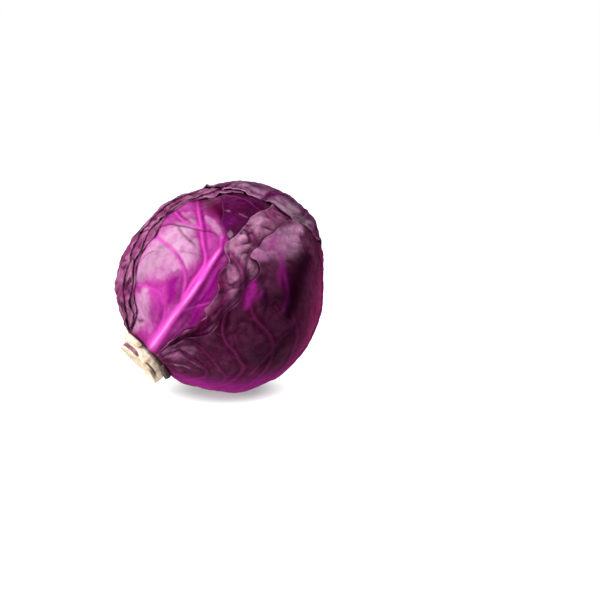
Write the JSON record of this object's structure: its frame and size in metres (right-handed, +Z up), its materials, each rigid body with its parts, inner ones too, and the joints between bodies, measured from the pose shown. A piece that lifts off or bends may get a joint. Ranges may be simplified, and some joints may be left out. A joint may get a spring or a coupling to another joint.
{
  "type": "red cabbage head",
  "caption": "Whole red cabbage head lying on its side, wrapped in overlapping glossy purple leaves, with a pale woody stump cut flat.",
  "frame": {"origin": "on the floor, at the middle of the small flat spot the head lies on, straight below the head's centre", "axes": "+Z up; the viewer of the picture stands on the -Y side and looks towards +Y, with +X to the right; the stump points down to the left and slightly to the front, towards -X and -Y"},
  "size_m": [0.1624, 0.1593, 0.1594],
  "materials": {
    "bright_leaf": "gloss",
    "dark_leaf": "gloss",
    "bloomed_leaf": "satin",
    "heart_leaf": "satin",
    "woody_stump": "matte",
    "leaf_scar": "matte"
  },
  "bodies": {
    "root": {"heart": "heart_leaf", "stump": "woody_stump", "leaf_front": "bright_leaf", "leaf_crown": "dark_leaf", "leaf_left_inner": "bloomed_leaf", "leaf_right_inner": "bloomed_leaf", "leaf_left_middle": "bloomed_leaf", "leaf_right_outer": "dark_leaf", "leaf_left_outer": "bloomed_leaf", "leaf_back": "dark_leaf", "cut_base_upper": "woody_stump", "cut_base_back": "leaf_scar", "cut_base_lower": "leaf_scar"}
  },
  "joints": []
}
